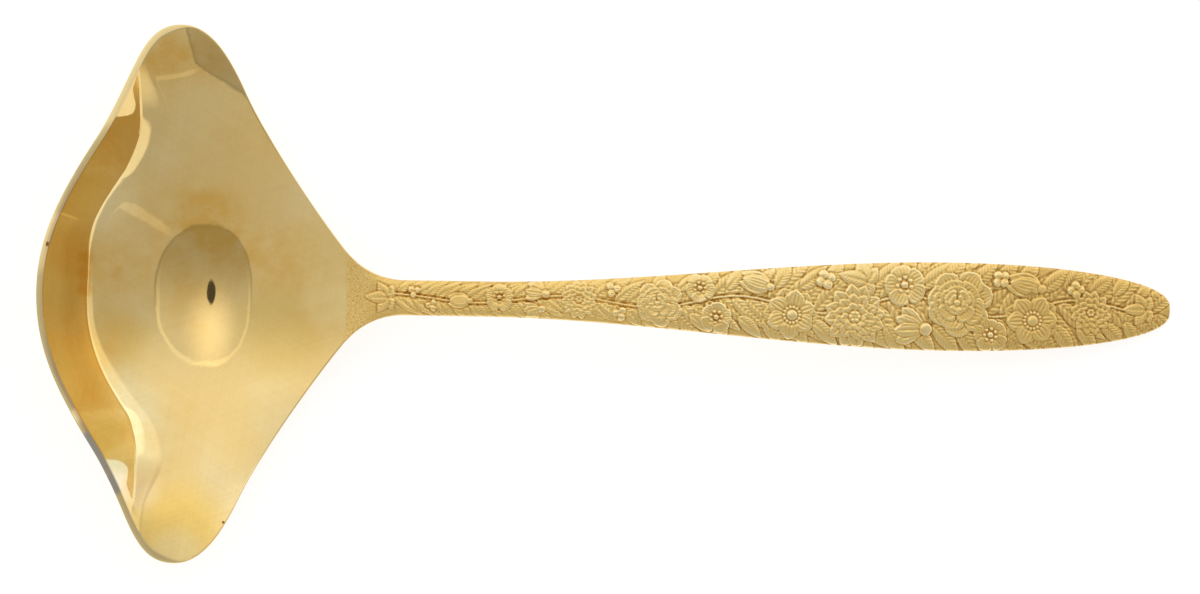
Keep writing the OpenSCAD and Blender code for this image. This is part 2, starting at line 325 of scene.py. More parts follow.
# breadth of the bend beside the crease: narrow in the middle, broad further out and narrow again at the ends,
# which comes a little sooner on the -Y side
def foldBend(y):
    sooner = bowl["endSooner"] * (np.asarray(y) < 0)
    side = bowl["bendSide"] + (bowl["bendEnd"] - bowl["bendSide"]) * between(bowl["endY"], np.abs(y) + sooner)
    return bowl["bendMid"] + (side - bowl["bendMid"]) * between(bowl["bendY"], y)


def foldLean(y, step=0.6):  # how squarely the crease runs to the bowl's length
    return 1 / (1 + ((foldX(y + step) - foldX(y - step)) / (2 * step)) ** 2)


# height gained past the start of a bend of this breadth, which turns fast, then slowly, up to a rise of one
def climb(past, breadth):
    turned = np.clip(past / breadth, 0, 1)
    return breadth * (turned + ((1 - turned) ** 4 - 1) / 4) + np.maximum(past - breadth, 0)


def dishZ(x, y):
    straight = bowl["floorAlong"] * bowl["floorSlope"]  # where the floor's slope begins to hold
    along = straight * bowl["floorSlope"] * (np.sqrt(1 + ((x - lowX(y)) / straight) ** 2) - 1)
    past = foldX(y) - x
    bend = foldBend(y)
    rise = bowl["creaseRise"] + (bowl["creaseSide"] - bowl["creaseRise"]) * between(bowl["creaseY"], y)
    wall = bowl["bendRise"] * foldLean(y) * climb(past + bend, bend)
    wall = wall + rise * climb(past + bowl["crease"] / 2, bowl["crease"])
    # at either end the wall is flatter beside the rim
    strip = between(bowl["stripY"], y) * (1 - between(bowl["stripEnd"], y))
    stripWidth = bowl["stripWidth"] - bowl["stripLess"] * (np.asarray(y) > 0)
    wall = wall - bowl["stripFlat"] * strip * climb(frontX(y) + stripWidth - x, bowl["stripBend"])
    return bowl["sheet"] - bowl["footDepth"] + along + dishAcross(y) + wall


def dishNormal(x, y, step=0.04):
    dx = (dishZ(x + step, y) - dishZ(x - step, y)) / (2 * step)
    dy = (dishZ(x, y + step) - dishZ(x, y - step)) / (2 * step)
    return unit(np.stack([-dx, -dy, np.ones_like(dx)], axis=-1))


def sheetWay(x, y):  # the way the sheet's thickness runs: square to it at the front, upright at the rear rim
    normal = dishNormal(x, y)
    share = ease((x - foldX(y)) / (rearX(y) - foldX(y)))[..., None]
    upright = np.zeros_like(normal)
    upright[..., 2] = 1 / normal[..., 2]
    return normal * (1 - share) + upright * share


def rimProfile(rows):  # how far the rim stands out, and how far round the sheet's edge from top to bottom
    turn = np.linspace(0, math.pi, rows)
    power = 2 / bowl["rimSquare"]
    out = np.sin(turn) ** power
    down = 0.5 - 0.5 * np.sign(np.cos(turn)) * np.abs(np.cos(turn)) ** power
    return out, down


def landProfile(rows):  # the same for a level land with a rounded outer corner
    turn = np.linspace(0, math.pi / 2, rows)
    power = 2 / bowl["landSquare"]
    return np.sin(turn) ** power, 1 - np.cos(turn) ** power


def makeBowl():
    seamSide = [xSeam, root[1] - rootRound - bowl["seamInset"]]
    half = np.vstack([spaced(frontRim, bowl["pointsFront"]), spaced(rearRim, bowl["pointsRear"])[1:],
                      spaced(np.array([seamSide, [xSeam, 0.0]]), bowl["pointsSeam"])])
    mirrored = half[-2:0:-1] * [1, -1]
    outline = np.vstack([half, mirrored])
    ahead = unit(np.roll(outline, -1, axis=0) - outline)
    behind = unit(outline - np.roll(outline, 1, axis=0))
    tangent = unit(ahead + behind)
    onSeam = np.abs(outline[:, 0] - xSeam) < tiny
    atRoot = onSeam & (np.abs(outline[:, 1]) > root[1] - tiny)
    atSeam = onSeam & ~atRoot
    tangent[atRoot] = np.stack([np.sign(outline[atRoot, 1]), 0 * outline[atRoot, 1]], axis=1)
    tangent[atSeam] = [0, -1]
    inward = np.stack([tangent[:, 1], -tangent[:, 0]], axis=1)
    edge = outline.copy()
    toRear = ease((outline[:, 0] - spout[0]) / bowl["rimTurn"] + 0.5)[:, None]
    standOut = np.where(atSeam, 0.0, np.where(atRoot, rootRound, bowl["rimRear"]))[:, None]
    out, down = (part[:, None, None] for part in rimProfile(bowl["rowsRim"]))
    landOut, landDown = (part[:, None, None] for part in landProfile(bowl["rowsRim"]))
    # set the inner edge back until the rim's outermost point lies on the outline
    for _ in range(bowl["settling"]):
        way = sheetWay(edge[:, 0], edge[:, 1]) * bowl["rimSheet"]
        way[onSeam, :2] = 0
        rise = np.cross(np.c_[tangent, np.zeros(len(edge))], way)
        outward = unit(rise * np.sign(-(rise[:, :2] * inward).sum(1))[:, None])
        normal = dishNormal(edge[:, 0], edge[:, 1])
        lean = (normal[:, :2] * inward).sum(1) / normal[:, 2]
        fall = bowl["land"] * bowl["landSlope"]  # the front edge is filed nearly level
        upright = bowl["rimSheet"] * np.sqrt(1 + lean ** 2)
        drop = np.maximum(upright - bowl["land"] * lean - fall, bowl["landFace"])
        flat = np.c_[-bowl["land"] * inward, np.full(len(edge), -fall)]
        face = np.c_[np.zeros((len(edge), 2)), -drop]
        rounded = out * standOut * outward - down * way
        filed = landOut * flat + landDown * face
        rim = rounded * toRear + filed * (1 - toRear)
        reach = -(rim[..., :2] * inward).sum(-1)
        edge = outline + inward * reach.max(0)[:, None]
    loop = len(outline)
    centre = np.array([xFront + bowl["heart"], 0.0])

    def dish(count):
        share = np.linspace(0, 1, count + 1)[1:, None, None]
        return centre + share * (edge - centre)

    inside = dish(bowl["rowsInside"])
    top = np.dstack([inside, dishZ(inside[..., 0], inside[..., 1])])
    rimTop = top[-1]
    below0 = rimTop + rim[-1]
    rim = (rimTop + rim)[1:-1]
    under = dish(bowl["rowsUnder"])[::-1]
    near = np.linalg.norm(under - edge, axis=-1)
    sheet = bowl["rimSheet"] + (bowl["sheet"] - bowl["rimSheet"]) * ease(near / bowl["rimFade"])
    below = np.dstack([under, dishZ(under[..., 0], under[..., 1])])
    below = below - sheet[..., None] * sheetWay(under[..., 0], under[..., 1])
    below[0] = below0
    below[..., 2] = np.maximum(below[..., 2], 0)
    poleTop = np.array([[*centre, dishZ(*centre)]])
    poleUnder = poleTop - [[0, 0, bowl["sheet"]]]
    poleUnder[:, 2] = np.maximum(poleUnder[:, 2], 0)
    rows = np.concatenate([top, rim, below])
    points = np.vstack([rows.reshape(-1, 3), poleTop, poleUnder])
    quads = gridFaces(len(rows), loop)
    here = np.arange(loop)
    nextOne = (here + 1) % loop
    last = (len(rows) - 1) * loop
    caps = np.vstack([np.stack([nextOne, here, np.full(loop, len(points) - 2)], axis=1),
                      np.stack([last + here, last + nextOne, np.full(loop, len(points) - 1)], axis=1)])
    piece = makeMesh("pressed_bowl", points, quads, caps)
    seamPoints = np.flatnonzero(onSeam)
    corners = np.flatnonzero(atRoot)
    first = bowl["rowsInside"] - 1
    rimRows = (first + np.arange(bowl["rowsRim"])) * loop
    land = np.zeros((len(rows), loop))
    land[first:first + bowl["rowsRim"] - 1] = (1 - toRear)[:, 0]
    paintPoints(piece, "land", np.append(land.ravel(), [0, 0]))
    land[first + 1] = land[first + 1] * bowl["landSoft"]
    land[first + 2:] = 0
    paintPoints(piece, "landInner", np.append(land.ravel(), [0, 0]))
    innerRim = rimRows[0] + np.flatnonzero(outline[:, 0] < spout[0] + bowl["landCrisp"])
    halves = np.split(innerRim, np.flatnonzero(np.diff(innerRim) > 1) + 1)
    frontEdge = rimRows[0] + np.array([loop - 1, 0])
    seamEdges = [rimRows[0] + seamPoints, rimRows[-1] + seamPoints]
    rootEdges = [rimRows + corner for corner in corners]
    markSharp(piece, [*seamEdges, *rootEdges, *halves, frontEdge])
    print("bowl:", len(points), "points")
    return piece


pressedBowl = makeBowl()


# handle: an arch that leaves the bowl along its own slope and comes down to the table at its end
def pastNeck(x):  # 0 at the neck, 1 at the broadest place
    return (x - xSeam - handle["neckSet"]) / (handle["broadSet"] - handle["neckSet"])


def pastBroad(x):  # 0 at the broadest place, 1 at the end
    return (x - xSeam - handle["broadSet"]) / (handle["length"] - handle["broadSet"])


def halfWidth(x):
    past = np.clip(pastBroad(x), 0, 1)
    end = (1 - past ** handle["endFull"]) ** (1 / handle["endFull"])
    tail = handle["endWidth"] / 2 + (handle["broadWidth"] - handle["endWidth"]) / 2 * end
    body = handle["neckWidth"] / 2 + (handle["broadWidth"] - handle["neckWidth"]) / 2 * ease(pastNeck(x))
    left = np.clip(xSeam + flareLength - x, 0, flareLength)
    flare = handle["flareRadius"] - np.sqrt(handle["flareRadius"] ** 2 - left ** 2)
    return np.where(past > 0, tail, body + flare)


probe = 0.04
rootRise = float((dishZ(xSeam + probe, 0.0) - dishZ(xSeam - probe, 0.0)) / (2 * probe))
rootZ = float(dishZ(xSeam, 0.0))
endZ = handle["endThick"] * math.cos(math.radians(handle["endSlope"]))
endRise = -math.tan(math.radians(handle["endSlope"]))


def archZ(x):
    u = (x - xSeam) / handle["length"]
    return (rootZ * (2 * u ** 3 - 3 * u ** 2 + 1) + handle["length"] * rootRise * (u ** 3 - 2 * u ** 2 + u)
            + endZ * (3 * u ** 2 - 2 * u ** 3) + handle["length"] * endRise * (u ** 3 - u ** 2))


def archTurn(x, step=0.05):
    return np.arctan((archZ(x + step) - archZ(x - step)) / (2 * step))


def handleThick(x):
    rootThick = bowl["sheet"] + handle["braze"] + handle["tongueThick"]
    thick = rootThick + (handle["neckThick"] - rootThick) * ease((x - xSeam) / flareLength)
    thick = thick + (handle["broadThick"] - handle["neckThick"]) * ease(pastNeck(x))
    return thick + (handle["endThick"] - handle["broadThick"]) * ease(pastBroad(x))


def pillow(count, samples=4001):  # places across a section, even along its rounded edge
    side = np.linspace(-1, 1, samples)
    height = handle["crown"] * (1 - np.abs(side) ** handle["square"]) ** (1 / handle["square"])
    return spaced(np.stack([side, height], axis=1), count)[:, 0]


# carving: flowers and leaves struck into the handle's face, from the lowest to the highest
# places are in millimetres from the seam and from the middle line
carving = {
    "cell": 0.08, "side": 7.6, "past": 0.4, "lowest": -0.34, "smooth": 0.05, "level": 0.14, "depth": 1.0,
    "soft": 0.09, "halo": 0.15, "haloWidth": 0.18, "root": (1.5, 4.5), "edge": 0.14, "edgeKept": (0.3, 0.7),
    "ribWidth": 0.17, "veinLean": 0.95, "veinFade": 0.2, "stripeFade": (0.25, 0.12),
    # painted shade in the hollows and painted highlight on the ridges: reach and share of fine and coarse
    # ones, and how strongly it shows along the handle
    "reliefShades": ((0.22, 1.1), (0.8, 0.45)), "reliefShadeSpan": 0.5, "shadeContrast": (0.42, 0.58, 0.25),
    "gainFrom": 38, "gainOver": 25, "lossFrom": 98, "lossOver": 12,
}
carveX = np.arange(-carving["past"], handle["length"] + carving["past"], carving["cell"])
carveY = np.arange(-carving["side"], carving["side"], carving["cell"])
gridX, gridY = np.meshgrid(carveX, carveY, indexing="ij")
carved = np.zeros_like(gridX)


def wideAt(along):
    return float(halfWidth(xSeam + along))


def patch(at, reach):  # the part of the carving within reach of a place
    i = np.searchsorted(carveX, [at[0] - reach, at[0] + reach])
    j = np.searchsorted(carveY, [at[1] - reach, at[1] + reach])
    return slice(*i), slice(*j)


def strike(where, inside, height):  # inside is the distance from the motif's edge, positive within it
    cover = ease(inside / carving["soft"] + 0.5)
    sunk = carving["halo"] * np.exp(-(np.minimum(inside, 0) / carving["haloWidth"]) ** 2)
    carved[where] = (carved[where] - sunk) * (1 - cover) + height * cover


# a petal or a leaf, with veins or stripes
def blade(at, turn, length, width, lift, dome, groove, full, peak=0.5, bend=0.0, rib=0.0, veinGap=0.0,
          stripes=0, cup=0.0, rise=0.0):
    where = patch(at, length * 1.1 + 0.9)
    da = gridX[where] - at[0]
    db = gridY[where] - at[1]
    c, s = math.cos(turn), math.sin(turn)
    along = (da * c + db * s) / length
    t = np.clip(along, 0.001, 0.999)
    side = db * c - da * s - bend * length * t * t
    half = 0.5 * width * np.sin(math.pi * t ** (math.log(0.5) / math.log(peak))) ** full + 0.02
    q = np.clip(side / half, -1, 1)
    beyond = np.maximum(-along, along - 1) * length
    inside = np.where(beyond > 0, -np.hypot(np.maximum(beyond, 0), np.abs(side)), half - np.abs(side))
    height = lift + dome * np.sqrt(1 - q * q) + cup * np.abs(q) ** 3 + rise * t
    height = height - rib * np.exp(-(side / carving["ribWidth"]) ** 2) * np.sqrt(1 - t)
    if veinGap:
        slanted = t * length - carving["veinLean"] * np.abs(side)
        lines = 0.5 + 0.5 * np.cos(2 * math.pi * slanted / veinGap)
        fade = carving["veinFade"]
        height = height - groove * lines ** 2 * ease(np.abs(side) / fade) * ease((1 - t) / fade)
    if stripes:
        lines = 0.5 + 0.5 * np.cos(math.pi * stripes * q)
        fadeIn, fadeOut = carving["stripeFade"]
        height = height - groove * lines ** 2 * ease(t / fadeIn) * ease((1 - t) / fadeOut)
    strike(where, inside, height)


def bead(at, radius, lift, dome):
    where = patch(at, radius + 0.8)
    away = np.hypot(gridX[where] - at[0], gridY[where] - at[1])
    height = lift + dome * np.sqrt(np.clip(1 - (away / radius) ** 2, 0, 1))
    strike(where, radius - away, height)


def beadRing(at, radius, count, size, lift, dome, turn=0.0):
    for k in range(count):
        a = turn + 2 * math.pi * k / count
        bead((at[0] + radius * math.cos(a), at[1] + radius * math.sin(a)), size, lift, dome)


def petals(at, radius, count, turn, lift, wide, inner, stray=0.07, **shape):  # a ring, slightly uneven
    for k in range(count):
        a = turn + 2 * math.pi * k / count + stray * math.sin(4.1 * k + count)
        base = (at[0] + inner * radius * math.cos(a), at[1] + inner * radius * math.sin(a))
        reach = radius * (1 - inner) * (1 + stray * math.sin(7.3 * k + 2 * count))
        blade(base, a, reach, 2 * radius * math.sin(math.pi / count) * wide, lift, **shape)


def plumBlossom(at, radius, turn, lift=0.2):
    petals(at, radius, 5, turn, lift, wide=0.86, inner=0.1, dome=0.05, peak=0.66, full=0.62,
           rib=0.06, stripes=6, groove=0.11, cup=0.15, rise=0.08)
    beadRing(at, radius * 0.34, 7, radius * 0.075 + 0.04, lift + 0.12, 0.1, turn)
    bead(at, radius * 0.17, lift + 0.1, 0.16)


def windflower(at, radius, turn, lift=0.2):
    petals(at, radius * 1.05, 6, turn + math.pi / 6, lift - 0.06, wide=0.8, inner=0.2, dome=0.06, peak=0.56,
           full=0.85, rib=0.06, stripes=5, groove=0.12, cup=0.1)
    petals(at, radius * 0.95, 6, turn, lift, wide=0.78, inner=0.15, dome=0.07, peak=0.54,
           full=0.8, rib=0.06, stripes=5, groove=0.12, cup=0.1, rise=0.08)
    bead(at, radius * 0.3, lift + 0.08, 0.06)
    beadRing(at, radius * 0.3, 14, radius * 0.06, lift + 0.12, 0.09)
    bead(at, radius * 0.2, lift + 0.12, 0.14)


def peony(at, radius, turn, lift=0.18):
    rings = ((1.05, 7, 0.0), (0.82, 5, 0.55), (0.6, 5, 0.1), (0.4, 4, 0.5), (0.24, 3, 0.2))
    for k, (share, count, shift) in enumerate(rings):
        petals(at, radius * share, count, turn + shift, lift + 0.05 * k, wide=0.9, inner=0.15, stray=0.14,
               dome=0.05, peak=0.64, full=0.66, stripes=7 if k < 3 else 0, groove=0.1, cup=0.17, rise=0.12)
    bead(at, radius * 0.1, lift + 0.3, 0.1)


def dahlia(at, radius, turn, lift=0.18):
    rings = ((1.05, 12, 0.0), (0.76, 10, 0.28), (0.48, 8, 0.1))
    for k, (share, count, shift) in enumerate(rings):
        petals(at, radius * share, count, turn + shift, lift + 0.06 * k, wide=0.95, inner=0.22, stray=0.05,
               dome=0.05, peak=0.56, full=0.85, rib=0.1, stripes=3, groove=0.06, cup=0.12, rise=0.1)
    bead(at, radius * 0.2, lift + 0.2, 0.1)
    beadRing(at, radius * 0.13, 6, radius * 0.055 + 0.02, lift + 0.27, 0.08)


def tulip(at, turn, size, lift=0.26):
    for bend, spread in ((0.16, 0.42), (-0.16, -0.42)):
        blade(at, turn + spread, size, size * 0.46, lift, 0.07, full=0.7, bend=-bend * 1.6,
              stripes=4, groove=0.1, cup=0.06)
    blade(at, turn, size * 0.95, size * 0.5, lift + 0.06, 0.09, peak=0.45, full=0.7,
          stripes=5, groove=0.1, cup=0.06)
    bead(at, size * 0.13, lift + 0.02, 0.1)


def bellflower(at, turn, size, lift=0.24):
    for spread in (-0.5, 0.5, -0.18, 0.18):
        blade(at, turn + spread, size, size * 0.42, lift + 0.1 - abs(spread) * 0.12, 0.07, peak=0.6,
              full=0.65, rib=0.08, bend=0.12 * spread, stripes=3, groove=0.08, cup=0.08)
    bead(at, size * 0.2, lift + 0.1, 0.14)


def berries(at, size, count, turn, lift=0.22):
    for k in range(count):
        a = turn + 2 * math.pi * k / count
        place = (at[0] + size * 1.05 * math.cos(a), at[1] + size * 1.05 * math.sin(a))
        bead(place, size, lift, 0.3)
        bead((place[0] + size * 0.2, place[1] + size * 0.2), size * 0.22, lift + 0.26, 0.06)


def leaf(at, turn, length, width, lift, bend):
    blade(at, turn, length, width, lift, 0.12, peak=0.42, full=0.85, bend=bend, rib=0.16,
          veinGap=max(0.46, length * 0.1), groove=0.14, cup=0.05)


def ivy(at, turn, size, lift=0.2):
    for spread, share in ((2.0, 0.6), (-2.0, 0.6), (1.0, 0.8), (-1.0, 0.8), (0.0, 1.0)):
        blade(at, turn + spread, size * share, size * 0.52, lift, 0.09, peak=0.38, full=0.8,
              rib=0.12, veinGap=0.55, groove=0.08)


# leaves: long ones to either side of the stem in turn, and shorter ones that fill the edges of the broad part
leaves = {
    "from": 7.2, "to": 127, "gap": (0.62, 0.27), "gapShare": 0.55, "turn": (0.56, 0.045),
    "turnStray": (0.1, 2.1), "past": 0.9, "reach": (0.95, 0.08, 3.3), "slim": 0.3, "lift": (0.05, 0.03, 1.7),
    "bend": 0.1, "fill": (46.0, 124.0, 1.9), "fillTurn": (0.75, 0.2, 1.3), "fillLift": (0.12, 0.04, 2.3),
    "fillAside": 0.42, "fillLength": 0.95, "fillWidth": (0.3, 0.5), "fillBend": 0.12,
    "stem": (7.0, 124.0, 0.6), "stemReach": 0.65, "sway": 0.22, "swayLength": 4.3,
}


def sway(along):  # the middle stem wanders from side to side
    return leaves["sway"] * wideAt(along) * math.sin(along / leaves["swayLength"])


def stem(start, end, width=0.4, lift=0.1, dome=0.12):
    start, end = np.asarray(start), np.asarray(end)
    where = patch((start + end) / 2, np.linalg.norm(end - start) / 2 + 1.0)
    gx, gy = gridX[where] - start[0], gridY[where] - start[1]
    run = end - start
    t = np.clip((gx * run[0] + gy * run[1]) / (run @ run), 0, 1)
    away = np.hypot(gx - t * run[0], gy - t * run[1])
    height = lift + dome * np.sqrt(np.clip(1 - (2 * away / width) ** 2, 0, 1))
    strike(where, width / 2 - away, height)


def strayed(k, middle, by, pace):  # a value that differs from leaf to leaf
    return middle + by * math.sin(pace * k)


def carveLeaves():
    along = leaves["from"]
    k = 0
    gapLeast, gapWide = leaves["gap"]
    turnLeast, turnWide = leaves["turn"]
    while along < leaves["to"]:
        wide = wideAt(along)
        side = 1 if k % 2 else -1
        turn = side * strayed(k, turnLeast + turnWide * wide, *leaves["turnStray"])
        length = (wide + leaves["past"]) / math.sin(abs(turn)) * strayed(k, *leaves["reach"])
        lift = strayed(k, *leaves["lift"])
        leaf((along, sway(along)), turn, length, leaves["slim"] * length, lift, -side * leaves["bend"])
        along += leaves["gapShare"] * (gapLeast + gapWide * wide)
        k += 1
    fillSlim, fillLeast = leaves["fillWidth"]
    for k, along in enumerate(np.arange(*leaves["fill"])):
        wide = wideAt(along)
        side = 1 if k % 2 else -1
        turn = side * strayed(k, *leaves["fillTurn"])
        lift = strayed(k, *leaves["fillLift"])
        leaf((along, side * leaves["fillAside"] * wide), turn, leaves["fillLength"] * wide,
             fillSlim * wide + fillLeast, lift, side * leaves["fillBend"])
    for along in np.arange(*leaves["stem"]):
        ahead = along + leaves["stemReach"]
        stem((along, sway(along)), (ahead, sway(ahead)))


def carveFlowers():
    ivy((6.4, 0.0), math.pi, 3.5)
    berries((10.6, 1.0), 0.52, 3, 0.4)
    berries((13.4, -1.1), 0.48, 3, 1.0)
    tulip((19.4, -0.3), math.pi, 3.4)
    plumBlossom((24.0, 0.35), 2.2, 0.3)
    bellflower((31.2, 0.9), math.pi - 0.35, 3.2)
    bellflower((30.6, -1.4), math.pi + 0.3, 2.8)
    dahlia((36.4, 0.2), 2.8, 0.2)
    berries((41.6, 1.8), 0.62, 3, 0.2)
    berries((42.8, -1.9), 0.58, 3, 0.9)
    peony((48.6, -0.2), 3.5, 0.4)
    plumBlossom((55.2, 2.3), 2.3, 0.9)
    plumBlossom((57.8, -2.2), 2.5, 0.1)
    tulip((66.2, 2.6), math.pi - 0.3, 4.8)
    windflower((69.6, -1.7), 4.1, 0.4)
    berries((74.8, 3.9), 0.78, 4, 0.4)
    ivy((81.2, 3.7), math.pi - 0.25, 4.6)
    dahlia((79.4, -1.8), 4.7, 0.15)
    plumBlossom((87.2, 3.3), 3.3, 0.6)
    bellflower((90.6, -3.6), math.pi - 0.15, 5.0)
    peony((95.4, 0.6), 5.0, 0.2)
    plumBlossom((100.8, -4.3), 2.7, 0.5)
    berries((102.4, 4.4), 0.72, 4, 0.7)
    tulip((108.8, 3.0), math.pi - 0.2, 5.4)
    windflower((107.4, -2.0), 4.2, 0.1)
    berries((114.2, 2.9), 0.7, 4, 0.1)
    dahlia((116.6, -0.6), 3.2, 0.3)
    ivy((125.2, 0.0), math.pi, 3.6)


def blur(grid, reach):  # reach in millimetres
    cells = reach / carving["cell"]
    steps = np.arange(-math.ceil(3 * cells), math.ceil(3 * cells) + 1)
    weights = np.exp(-0.5 * (steps / cells) ** 2)
    weights = weights / weights.sum()
    for axis in (0, 1):
        grid = np.apply_along_axis(lambda line: np.convolve(line, weights, mode="same"), axis, grid)
    return grid


carveLeaves()
carveFlowers()
struck = blur(np.maximum(carved, carving["lowest"]), carving["smooth"])
# painted shade and highlight: places below their blurred surroundings look darker, places above them lighter
reliefShades = sum(share * (struck - blur(struck, reach)) for reach, share in carving["reliefShades"])
print("carving:", round(float(struck.min()), 2), "to", round(float(struck.max()), 2), "mm")


def fromGrid(grid, along, across):  # between the cells of the carving
    i = np.clip((along - carveX[0]) / carving["cell"], 0, len(carveX) - 1.001) + 0 * across
    j = np.clip((across - carveY[0]) / carving["cell"], 0, len(carveY) - 1.001) + 0 * along
    i0, j0 = i.astype(int), j.astype(int)
    i, j = i - i0, j - j0
    return ((grid[i0, j0] * (1 - i) + grid[i0 + 1, j0] * i) * (1 - j)
            + (grid[i0, j0 + 1] * (1 - i) + grid[i0 + 1, j0 + 1] * i) * j)


def relief(x, y):
    start, full = carving["root"]
    toEdge = 1 - np.abs(y) / halfWidth(x)
    least, more = carving["edgeKept"]
    fade = ease((x - xSeam - start) / (full - start)) * (least + more * ease(toEdge / carving["edge"]))
    return carving["depth"] * (fromGrid(struck, x - xSeam, y) - carving["level"]) * fade


def makeHandle():
    tipStart = xEnd - handle["tip"]
    tipTurns = np.linspace(0, 1, handle["tipRings"] + 1)[1:] * math.pi / 2
    xs = np.concatenate([np.linspace(xSeam + handle["gap"], tipStart, handle["rings"] - handle["tipRings"]),
                         xEnd - handle["tip"] * (1 - np.sin(tipTurns))])
    top = pillow(handle["pointsTop"])
    under = pillow(handle["pointsUnder"] + 2)[-2:0:-1]
    power = handle["square"]

    def section(q, sign):
        wide = halfWidth(xs)[:, None]
        thick = handleThick(xs)[:, None]
        turn = archTurn(xs)[:, None]
        into = ease((xs - xSeam) / flareLength)[:, None]
        pillowed = (1 - np.abs(q) ** power) ** (1 / power)
        flat = 1.0
        lift = 0.0
        if sign > 0:  # the root takes over the rounding of the bowl's rim
            rounding = bowl["rimRear"] / np.cos(np.arctan(np.gradient(wide[:, 0], xs)))[:, None]
            near = np.clip((np.abs(q) * wide - wide + rounding) / rounding, 0, 1)
            drop = 0.5 * bowl["rimSheet"] * (1 - (1 - near ** bowl["rimSquare"]) ** (1 / bowl["rimSquare"]))
            flat = 1 - 2 * drop / thick
            lift = relief(xs[:, None], q * wide)
        shape = flat + (pillowed - flat) * into
        depth = thick * (0.5 - sign * 0.5 * shape) - lift
        x = xs[:, None] + depth * np.sin(turn)
        z = archZ(xs)[:, None] - depth * np.cos(turn) + dishAcross(q * wide) * (1 - into)
        return np.dstack([x, q * halfWidth(np.minimum(x, xEnd)), z])

    body = np.concatenate([section(top, 1), section(under, -1)], axis=1)
    turns = np.radians(np.linspace(handle["tongueFrom"], 90, handle["tongueRings"]))[:, None]
    tongueX = xSeam - handle["tongue"] * np.cos(turns)
    depthTop = bowl["sheet"] + handle["braze"]
    thicker = handle["tongueThick"] - handle["tongueTip"]
    depthUnder = depthTop + handle["tongueTip"] + thicker * np.sin(turns)

    def lap(q, depth):
        y = q * handle["rootWidth"] / 2 * np.sin(turns)
        x = tongueX + 0 * y
        return np.dstack([x, y, dishZ(x, y)]) - (depth + 0 * y)[..., None] * sheetWay(x, y)

    tongue = np.concatenate([lap(top, depthTop), lap(under, depthUnder)], axis=1)
    rows = np.concatenate([tongue, body])
    ring = rows.shape[1]
    quads = gridFaces(len(rows), ring)[:, ::-1]
    points = rows.reshape(-1, 3)
    ends = []
    for start, flip in ((0, 1), ((len(rows) - 1) * ring, -1)):
        middle = len(points)
        points = np.vstack([points, points[start:start + ring].mean(0)])
        loopNow = start + np.arange(ring)
        loopNext = start + (np.arange(ring) + 1) % ring
        ends.append(np.stack([loopNow, loopNext, np.full(ring, middle)], axis=1)[:, ::flip])
    piece = makeMesh("struck_handle", points, quads, np.vstack(ends))
    # painted shade in the hollows and painted highlight on the ridges, one number per point for the satin
    # finish
    hollow = np.full((len(rows), ring), 0.5)
    past = xs[:, None] - xSeam
    depth = fromGrid(reliefShades, past, top * halfWidth(xs)[:, None])
    atNeck, gained, lost = carving["shadeContrast"]
    rising = gained * ease((past - carving["gainFrom"]) / carving["gainOver"])
    falling = lost * ease((past - carving["lossFrom"]) / carving["lossOver"])
    depth = depth * (atNeck + rising - falling)
    hollow[handle["tongueRings"]:, :len(top)] = np.clip(0.5 + depth / carving["reliefShadeSpan"], 0, 1)
    paintPoints(piece, "hollow", np.append(hollow.ravel(), [0.5, 0.5]))
    crispRings = np.array([handle["tongueRings"] - 1, handle["tongueRings"]]) * ring
    markSharp(piece, [start + np.arange(ring) for start in crispRings])
    print("handle:", len(points), "points")
    return piece


struckHandle = makeHandle()


# finishes
def newMaterial(name):
    material = bpy.data.materials.new(name)
    material.use_nodes = True
    tree = material.node_tree
    shader = next(n for n in tree.nodes if n.type == "BSDF_PRINCIPLED")
    return material, Wire(tree), shader


def setLook(net, shader, look):
    for name, value in look.items():
        net.plug(shader.inputs[name], value)


